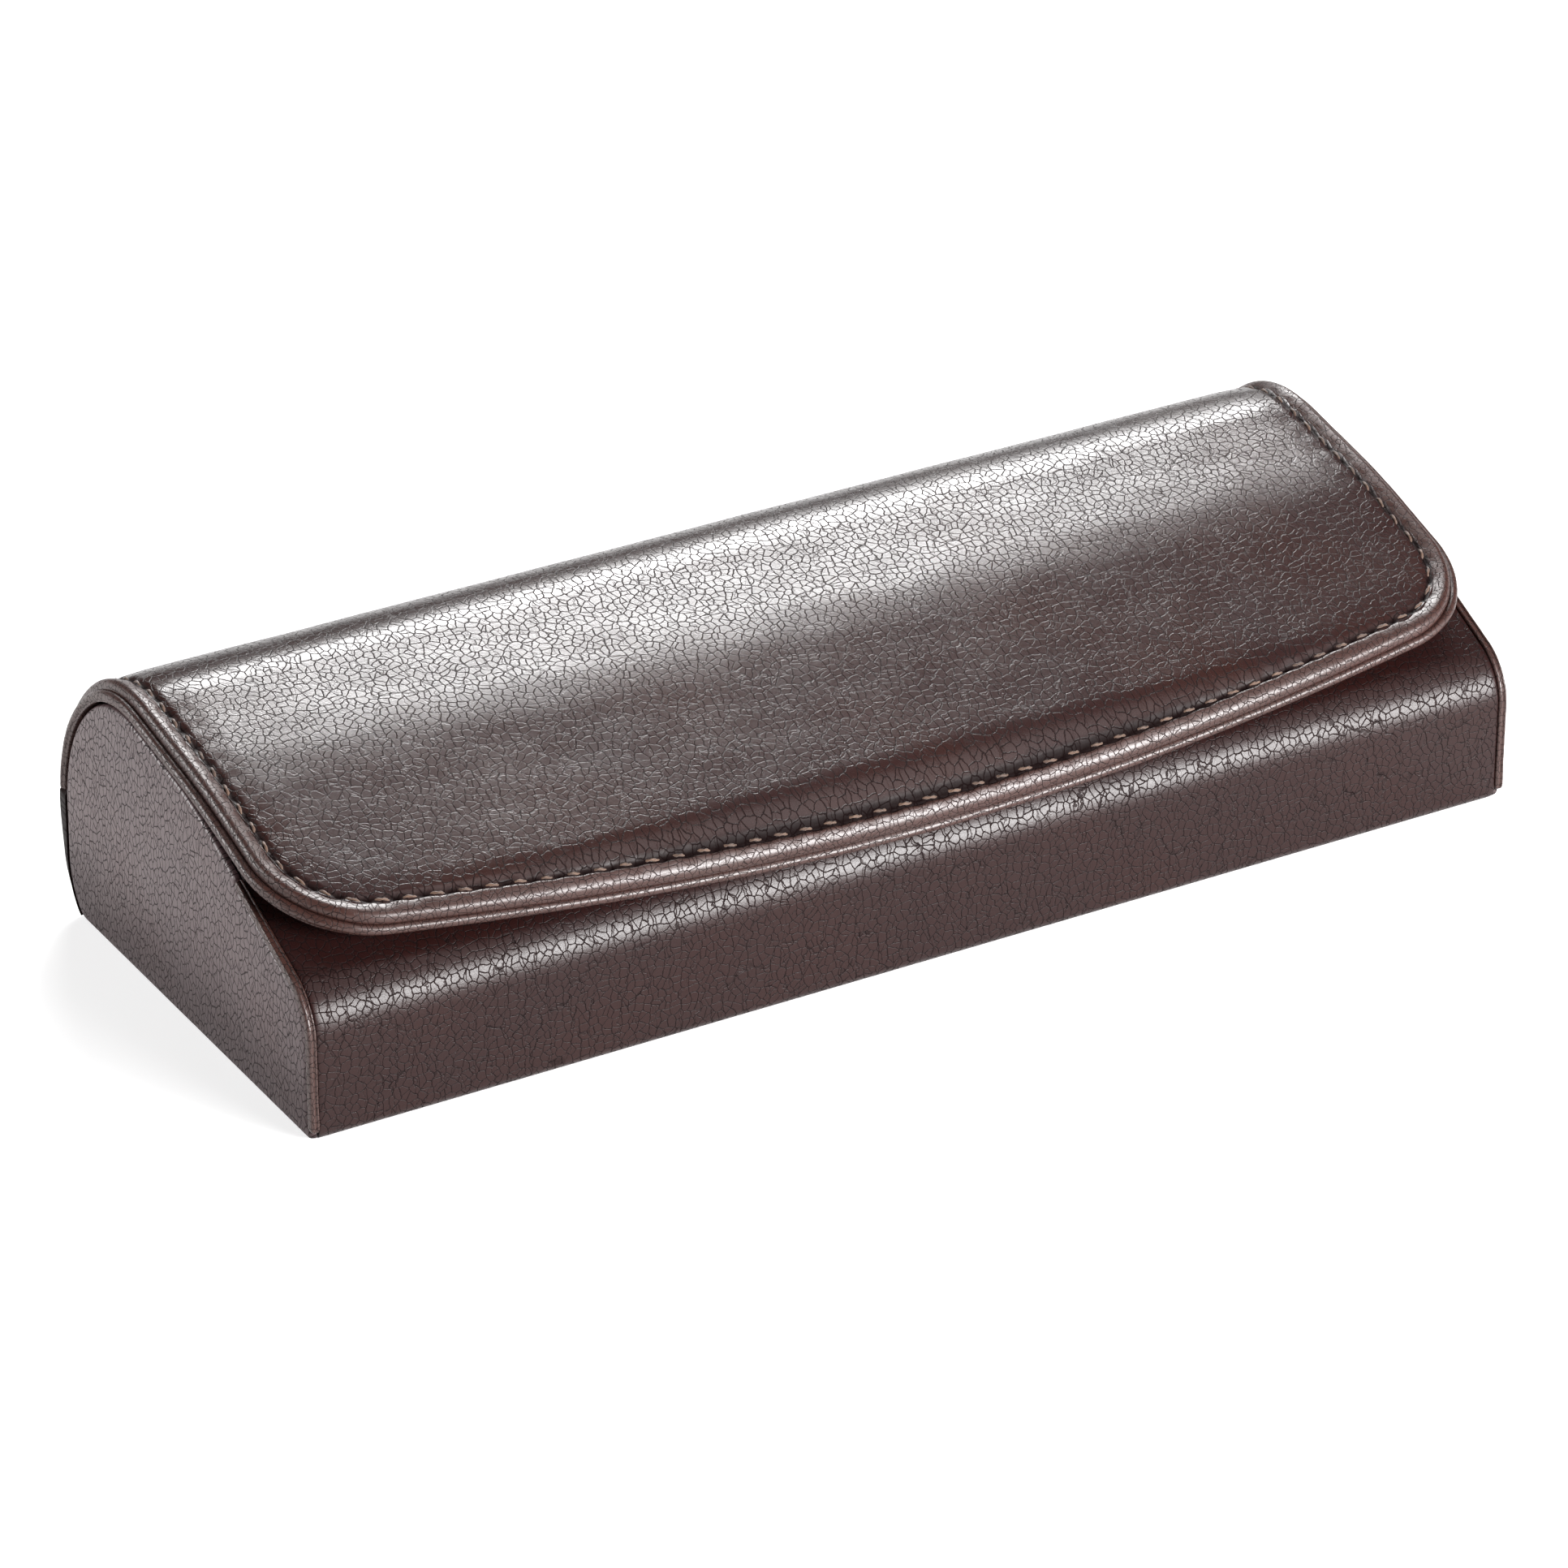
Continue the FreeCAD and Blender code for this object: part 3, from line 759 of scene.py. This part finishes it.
def make_stitches():
    """Two-ply thread, one short bar from hole to hole, dipping into the holes."""
    verts, faces = [], []
    around, steps = 10, 15
    for k in range(len(hole_q) - 1):
        q = np.linspace(hole_q[k] + 0.5, hole_q[k + 1] - 0.6, steps)
        x, s = np.interp(q, seam_q, seam_x), np.interp(q, seam_q, seam_s)
        f = np.linspace(0, 1, steps)
        arch = np.sin(math.pi * f) ** 0.6
        t = COVER_T - 0.66 + 0.58 * arch
        p, side, up = path_frame(x, s, 0.0)
        lean = (f - 0.5) * 0.3 + rng.uniform(-0.05, 0.05)
        p = p + (up * t[:, None] + side * lean[:, None]) * MM
        turn = rng.uniform(0, 6.3)
        angle = np.arange(around) / around * 2 * math.pi
        start = len(verts)
        for i in range(steps):
            twist = turn + f[i] * 7.5
            radius = 0.17 * (1 + 0.24 * np.cos(2 * (angle - twist))) * (0.8 + 0.2 * arch[i])
            for a, r in zip(angle, radius):
                verts.append(p[i] + (side[i] * math.cos(a) + up[i] * math.sin(a) * 0.85) * r * MM)
        faces += grid_faces(steps, around, start, loop=True)
        for i, row in ((0, start), (steps - 1, start + (steps - 1) * around)):
            ring = [row + j for j in range(around)]
            faces.append(ring[::-1] if i == 0 else ring)
    ob = mesh_object("seam_threads", verts, faces)
    turn_outwards(ob)
    return finish_piece(ob, THREAD, "thread", "lid", "lid_stitches")


def make_lid_lining():
    """Cloth on the inside of the lid, its edges tucked under the binding's flange."""
    half = HALF - LINING_EDGE
    x0 = lid_columns(half, 2.2, 0.6, 8.0)
    start = front_s(x0, LINING_EDGE)
    end = S_EDGE - 0.4
    share = np.linspace(0, 1, 70)
    s = start[:, None] + share[None] * (end - start[:, None])
    x = np.broadcast_to(x0[:, None], s.shape)
    soft = 0.035 * waves(x, s, 14.0, 41)
    rim = smooth(half - np.abs(x), 0, 2.5) * smooth(s - start[:, None], 0, 2.5)
    face = 0.40 - 0.09 * rim + soft * rim
    outer = place(x, lid.at(s, np.full(s.shape, 0.75)))
    inner = place(x, lid.at(s, face))
    ob = shell_piece("lid_cloth", outer, inner, np.stack([x, s], -1) / 10)
    return finish_piece(ob, LINING, "lining_cloth", "lid", "lid_lining")


# ---------------------------------------------------------------- base

def make_wrap():
    """The leather round the lip, the front wall, the underside and the back wall."""
    length = section.length
    run = np.arange(S_WALL, length + S_LIP, 0.62)
    # the nose goes round the lip's free edge, and the tail lies under the lip
    nose = np.linspace(0, math.pi, 9)[1:]
    tail = S_LIP + length - np.linspace(0.4, 4.0, 6)
    nose_middle = -1.17
    s = np.concatenate([run, S_LIP + length + 1.15 * np.sin(nose), tail])
    t = np.concatenate([np.zeros(len(run)), nose_middle * (1 - np.cos(nose)),
                        np.full(len(tail), -2.40)])
    s_in = np.concatenate([run, S_LIP + length + 0.6 * np.sin(nose), tail])
    t_in = np.concatenate([np.full(len(run), -LEATHER), nose_middle + 0.35 * np.cos(nose),
                           np.full(len(tail), -1.75)])
    turn = np.linspace(0, math.pi / 2, 9)
    reach, sink = 0.8, 0.15
    edge_x = WRAP_X - reach + reach * np.sin(turn)
    x0 = np.concatenate([np.linspace(0, WRAP_X - reach, 40)[:-1], edge_x])
    drop = np.concatenate([np.zeros(39), sink * (1 - np.cos(turn))])
    x0 = np.concatenate([-x0[:0:-1], x0])
    drop = np.concatenate([drop[:0:-1], drop])
    x, s_all = np.meshgrid(x0, s, indexing="ij")
    flat_floor = smooth(section.at(s)[:, 1], 0.5, 3.0)[None]
    swell = 0.05 * waves(x, s_all, 37.0, 51) + 0.02 * waves(x, s_all, 13.0, 52)
    t_all = t[None] - drop[:, None] * (0.25 + 0.75 * flat_floor) + swell * flat_floor
    t_all = np.where(t[None] < 0, t[None] - drop[:, None] * 0.3, t_all)
    inner_t = np.minimum(np.broadcast_to(t_in[None], t_all.shape), t_all - 0.15)
    inner_t = np.where(t[None] < -0.5, t_in[None], inner_t)
    outer = place(x, section.at(s_all, t_all))
    outer[..., 2] = np.maximum(outer[..., 2], 0.0)
    inner = place(x, section.at(np.broadcast_to(s_in[None], x.shape), inner_t))
    ob = shell_piece("base_leather", outer, inner, np.stack([x, s_all - length], -1) / 10)
    return finish_piece(ob, WRAP_SHADED, "grain_leather", "base", "base_cover")


def make_end_panel(name, sign, node):
    """The flat leather panel of an end, with rolled rims, turned over the plate's top edge."""
    s = np.linspace(0, section.length, 520, endpoint=False)
    face_x, back_x, roll = HALF - 0.08, 79.1, 0.75
    front = 1 - smooth(s, S_LIP - 3.2, S_LIP - 1.6)
    front = np.where(s > section.length - 2.0, 1.0, front)
    rim = -0.10 - 0.95 * front * smooth(section.at(s)[:, 1], 0.2, 2.0)
    open_top = smooth(s, S_LIP + 0.6, S_LIP + 1.4) * (1 - smooth(s, S_WALL - 1.4, S_WALL - 0.6))
    curl = np.linspace(0, math.pi / 2, 6)[1:]
    rings = []
    edge = section.at(s, rim - roll)
    for f in np.linspace(0.0, 1.0, 16)[1:]:
        uz = END_CENTRE + (edge - END_CENTRE) * f
        puff = 0.10 * smooth(1 - f, 0, 0.25) + 0.03 * waves(uz[:, 0], uz[:, 1], 17.0, 61)
        rings.append((uz, face_x + puff * smooth(1 - f, 0, 0.15)))
    for a in curl:
        uz = section.at(s, rim - roll + roll * np.sin(a))
        rings.append((uz, face_x - 0.55 * (1 - np.cos(a)) + 0 * s))
    # where the top is open, the leather turns over the plate's edge
    depth = back_x - 2.1 * open_top
    for x in (79.15, 78.5, 77.6, 77.0):
        rings.append((section.at(s, rim + 0.02), np.maximum(x, depth)))
    for a in curl:
        uz = section.at(s, rim - (0.4 * np.sin(a)) * open_top)
        rings.append((uz, depth - 0.35 * (1 - np.cos(a)) * open_top))
    rings.append((section.at(s, rim - 2.6 * open_top - 0.02), depth - 0.33 * open_top))
    rings.append((section.at(s, rim - 2.7 * open_top - 0.04), depth + 0.1 * open_top))
    verts, faces = ring_mesh(rings, (face_x + 0.10, *END_CENTRE), sign)
    across, up = verts[:, 1] / MM * sign / 10, verts[:, 2] / MM / 10
    lean = 0.16 * sign
    uv = np.stack([across + up * lean, up - across * lean], 1)
    # painted shade: a little darker towards the foot
    painted_shade = 0.45 * (1 - smooth(verts[:, 2] / MM, 1.0, 19.0))
    ob = mesh_object(name, verts, faces, uv, painted_shade)
    turn_outwards(ob)
    return finish_piece(ob, END_LIT, "end_leather", "base", node)


def make_welt(name, sign, node):
    """The raised double edge between an end panel and the wrapped front."""
    s = np.arange(section.find(1, 1.2, 0.0, 0.1), S_LIP - 1.9, 0.25)
    p, side, up = path_frame(np.full(len(s), sign * (HALF - 0.5)), s, 0.0, section)
    side = side * sign * -1 if side[0, 0] * sign < 0 else side
    profile = loop_of([(0.52, -0.55), (0.56, -0.1), (0.46, 0.12), (0.28, 0.14), (0.14, 0.0),
                       (0.0, 0.10), (-0.2, 0.15), (-0.42, 0.08), (-0.52, -0.15), (-0.5, -0.8),
                       (0.0, -0.9), (0.45, -0.85)], 30)
    q = (s - s[0])
    lift = (0.015 * line_noise(q, 0.8, 71) + 0.02 * line_noise(q, 5.0, 72))[:, None]
    lift = lift * smooth(profile[:, 1], -0.3, 0.0)[None]
    ob = sweep(name, p, side, up, profile, lift, 0.8, q[-1])
    return finish_piece(ob, PIPING, "piping_leather", "base", node)


def make_base_lining():
    """Cloth on the lip, front wall, floor and back wall, inside."""
    room = Outline(SECTION, -2.3, 1.6)
    s_lip = room.find(0, LIP_U - 2.6, 0.1, 0.35)
    s_wall = room.find(1, WALL_TOP - 0.4, 0.45, 0.68)
    s = np.arange(s_wall, room.length + s_lip, 0.9)
    x0 = lid_columns(LINING_X - 0.1, 2.4, 0.5, 4.0)
    x, s_all = np.meshgrid(x0, s, indexing="ij")
    off_end = smooth(LINING_X - np.abs(x), 0.0, 1.8)
    floor = smooth(-room.normal(s)[:, 1], 0.6, 0.95)[None]
    face = (0.05 * waves(x, s_all, 16.0, 81) - 0.45 * floor) * off_end
    inner = place(x, room.at(s_all, face))
    outer = place(x, room.at(s_all, np.full(s_all.shape, 0.52)))
    ob = shell_piece("base_cloth", inner, outer, np.stack([x, s_all], -1) / 10)
    return finish_piece(ob, LINING, "lining_cloth", "base", "base_lining")


def make_end_lining(name, sign, node):
    """A cloth pad on the inside of an end plate."""
    inner = Outline(SECTION, -1.75, 1.2)
    count = 240
    s = np.linspace(0, inner.length, count, endpoint=False)
    rings = []
    edge = inner.at(s, np.full(count, -0.25))
    for f in np.linspace(0, 1, 14)[1:]:
        uz = LINING_CENTRE + (edge - LINING_CENTRE) * f
        puff = 0.12 * smooth(1 - f, 0, 0.12) + 0.03 * waves(uz[:, 0], uz[:, 1], 12.0, 91)
        rings.append((uz, LINING_X + 0.1 - puff))
    for back in (0.3, 0.56):
        rings.append((inner.at(s), np.full(count, LINING_X + back)))
    verts, faces = ring_mesh(rings, (LINING_X - 0.02, *LINING_CENTRE), sign)
    ob = mesh_object(name, verts, faces, verts[:, 1:] / MM / 10)
    turn_outwards(ob)
    return finish_piece(ob, LINING, "lining_cloth", "base", node)


def make_gusset():
    """Cloth that joins the two linings across the hinge, with a little slack."""
    route = np.array([(59.85, 9.9), (59.75, 12.0), (59.55, 14.0), (59.9, 15.6), (60.9, 17.0),
                      (61.3, 18.4), (61.05, 19.7)])
    q = np.linspace(0, len(route) - 1, 40)
    line = np.stack([np.interp(q, np.arange(len(route)), route[:, k]) for k in (0, 1)], 1)
    for _ in range(6):
        line[1:-1] = (line[:-2] + 2 * line[1:-1] + line[2:]) / 4
    d = np.gradient(line, axis=0)
    d /= np.linalg.norm(d, axis=1)[:, None]
    off = np.stack([d[:, 1], -d[:, 0]], 1)
    half = LINING_X - 0.3
    x = np.broadcast_to(np.linspace(-half, half, 150)[:, None], (150, len(line)))
    run = np.cumsum(np.concatenate([[0], np.linalg.norm(np.diff(line, axis=0), axis=1)]))
    loose = np.sin(np.linspace(0, math.pi, len(line)))[None]
    pucker = 0.16 * waves(x, run[None] * 0.3, 9.0, 95) * loose
    front = place(x, line[None] - off[None] * (0.22 + pucker)[..., None])
    back = place(x, line[None] + off[None] * (0.2 - pucker)[..., None])
    ob = shell_piece("hinge_cloth", front, back,
                     np.stack(np.broadcast_arrays(x, run[None]), -1) / 10)
    return finish_piece(ob, LINING, "lining_cloth", None, "hinge_lining")


lid_leather = make_lid_panel()
make_piping()
make_binding()
make_stitches()
make_lid_lining()
make_wrap()
for side_name, sign in (("left", -1), ("right", 1)):
    make_end_panel(f"end_leather_{side_name}", sign, f"end_cover_{side_name}")
    make_welt(f"welt_{side_name}", sign, f"end_welt_{side_name}")
    make_end_lining(f"end_cloth_{side_name}", sign, f"end_lining_{side_name}")
make_base_lining()
hinge_cloth = make_gusset()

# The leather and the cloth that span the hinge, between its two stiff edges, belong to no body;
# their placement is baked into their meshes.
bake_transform(lid_leather)
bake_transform(hinge_cloth)

# The hidden parts keep their CAD shapes.
for name, material in (("base_shell", BOARD), ("lid_shell", BOARD), ("end_plate_left", BOARD),
                       ("end_plate_right", BOARD), ("lid_foam", FOAM), ("lid_magnets", STEEL),
                       ("lip_strike_plates", STEEL)):
    node = frame["nodes"][name]
    node.data.materials.clear()
    node.data.materials.append(material)


# ---------------------------------------------------------------- stage

LIGHT_DISTANCE = 1.1


def make_floor():
    """A wide white floor that glows a little, so that it shows as plain white."""
    me = bpy.data.meshes.new("floor")
    r = 4.0  # half its width, in metres
    me.from_pydata([(-r, -r, 0), (r, -r, 0), (r, r, 0), (-r, r, 0)], [], [(0, 1, 2, 3)])
    ob = bpy.data.objects.new("floor", me)
    bpy.context.scene.collection.objects.link(ob)
    k = Nodes("floor_white")
    k.set(Base_Color=(0.62, 0.62, 0.62, 1), Roughness=0.9, Specular_IOR_Level=0.1,
          Emission_Color=(1, 1, 1, 1), Emission_Strength=0.60)
    me.materials.append(k.material)


def make_light(name, sideways, tilt, width, power, height=None):
    """A soft box that faces the case.

    sideways is the share of its direction along X, and tilt its angle from straight up,
    towards the back, in degrees. height is its size along the tilt, the width if not given.
    """
    rise = math.sqrt(1 - sideways ** 2)
    a = math.radians(tilt)
    toward = Vector((sideways, rise * math.sin(a), rise * math.cos(a)))
    data = bpy.data.lights.new(name, "AREA")
    data.shape = "RECTANGLE"
    data.size = width
    data.size_y = height or width
    data.energy = power
    ob = bpy.data.objects.new(name, data)
    bpy.context.scene.collection.objects.link(ob)
    ob.location = toward * LIGHT_DISTANCE + Vector((0, 0, 0.02))
    ob.rotation_mode = "QUATERNION"
    ob.rotation_quaternion = toward.to_track_quat("Z", "Y")
    return ob


make_floor()
# a bank of soft boxes high at the back, for the lid's highlight
make_light("key_upper", 0.42, 38, 0.20, 1.3)
make_light("key_middle", 0.34, 50, 0.22, 4.2)
make_light("key_right", 0.48, 49, 0.22, 5.8)
make_light("key_low", 0.50, 65, 0.22, 0.6)
# low at the front, for the bend of the front wall, and a weak tall one above for the bead
make_light("front_right", 0.50, -77, 0.40, 21.5)
make_light("front_middle", 0.30, -71, 0.40, 11.5)
make_light("front_above", 0.40, -27, 0.50, 2.6, 1.0)
# two that light the left end
make_light("left_back", -0.80, 60, 0.40, 8.8)
make_light("left_middle", -0.85, 0, 0.40, 2.2)

world = bpy.data.worlds.new("studio")
world.use_nodes = True
world.node_tree.nodes["Background"].inputs["Color"].default_value = (0.95, 0.97, 1.0, 1)
world.node_tree.nodes["Background"].inputs["Strength"].default_value = 0.02
bpy.context.scene.world = world
bpy.context.scene.view_settings.view_transform = "Standard"

# The camera, at the photograph's place
CAMERA_AT = (-402.01 * MM, -690.41 * MM, 443.07 * MM)
CAMERA_AZIMUTH, CAMERA_ELEVATION = math.radians(-30.142), math.radians(28.524)
camera_data = bpy.data.cameras.new("camera")
camera_data.sensor_width = 36.0
camera_data.lens = 177.02
camera_data.clip_start, camera_data.clip_end = 0.05, 20.0
camera = bpy.data.objects.new("camera", camera_data)
bpy.context.scene.collection.objects.link(camera)
camera.location = CAMERA_AT
back = Vector((math.sin(CAMERA_AZIMUTH) * math.cos(CAMERA_ELEVATION),
               -math.cos(CAMERA_AZIMUTH) * math.cos(CAMERA_ELEVATION),
               math.sin(CAMERA_ELEVATION)))
camera.rotation_mode = "QUATERNION"
camera.rotation_quaternion = (-back).to_track_quat("-Z", "Y")
bpy.context.scene.camera = camera
